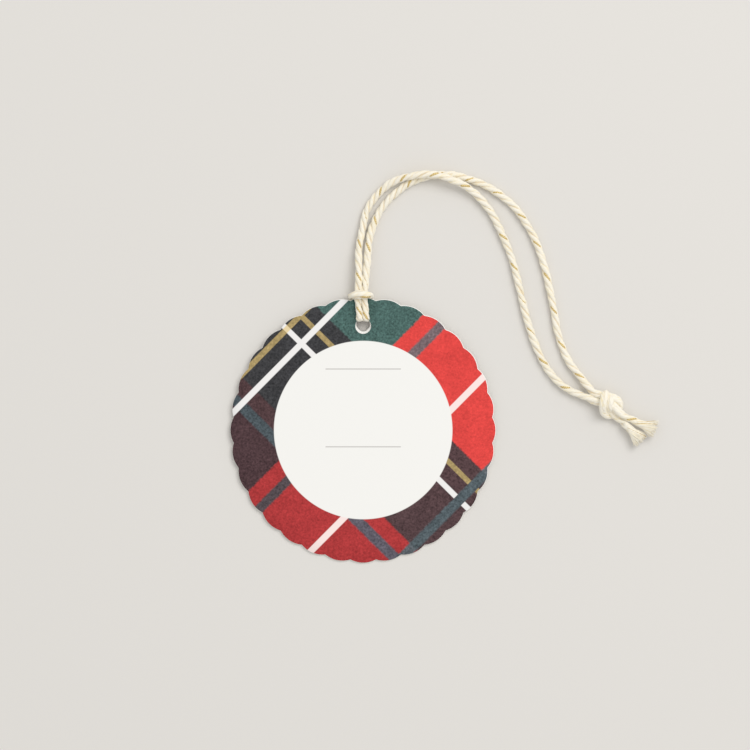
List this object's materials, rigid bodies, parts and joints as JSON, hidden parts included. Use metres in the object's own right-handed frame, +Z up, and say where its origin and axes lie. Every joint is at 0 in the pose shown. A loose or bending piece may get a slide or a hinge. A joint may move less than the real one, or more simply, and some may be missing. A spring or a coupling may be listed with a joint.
{
  "type": "gift tag",
  "caption": "Round scalloped paper gift tag with a tartan border and a blank writing panel, hung on a doubled cotton twine loop that is hitched through its punched hole and knotted at its ends.",
  "frame": {"origin": "middle of the card's bottom on the table that the tag lies on, face up", "axes": "+Z up from the table, +Y from the middle of the card to its string hole, +X to the right seen from above"},
  "size_m": [0.1023, 0.0938, 0.0054],
  "materials": {
    "printed_card": "matt printed paper with a white core",
    "twine": "soft three-ply cotton twine with one gold thread"
  },
  "bodies": {
    "card": {"tag_card": "printed_card", "twine_hitch": "twine"},
    "neck": {"neck_left": "twine", "neck_right": "twine"},
    "loop": {"leg_left": "twine", "leg_right": "twine", "end_knot": "twine", "tail_left": "twine", "tail_right": "twine"}
  },
  "joints": [
    {"name": "loop_swing", "type": "hinge", "parent": "card", "child": "neck", "pos_m": [0, 0.03515, 0.00316], "axis": [0, 0, 1], "range_deg": [-15, 45]},
    {"name": "loop_fold", "type": "hinge", "parent": "neck", "child": "loop", "pos_m": [0, 0.04005, 0.00251], "axis": [0.829, -0.5592, 0], "range_deg": [0, 110]}
  ]
}
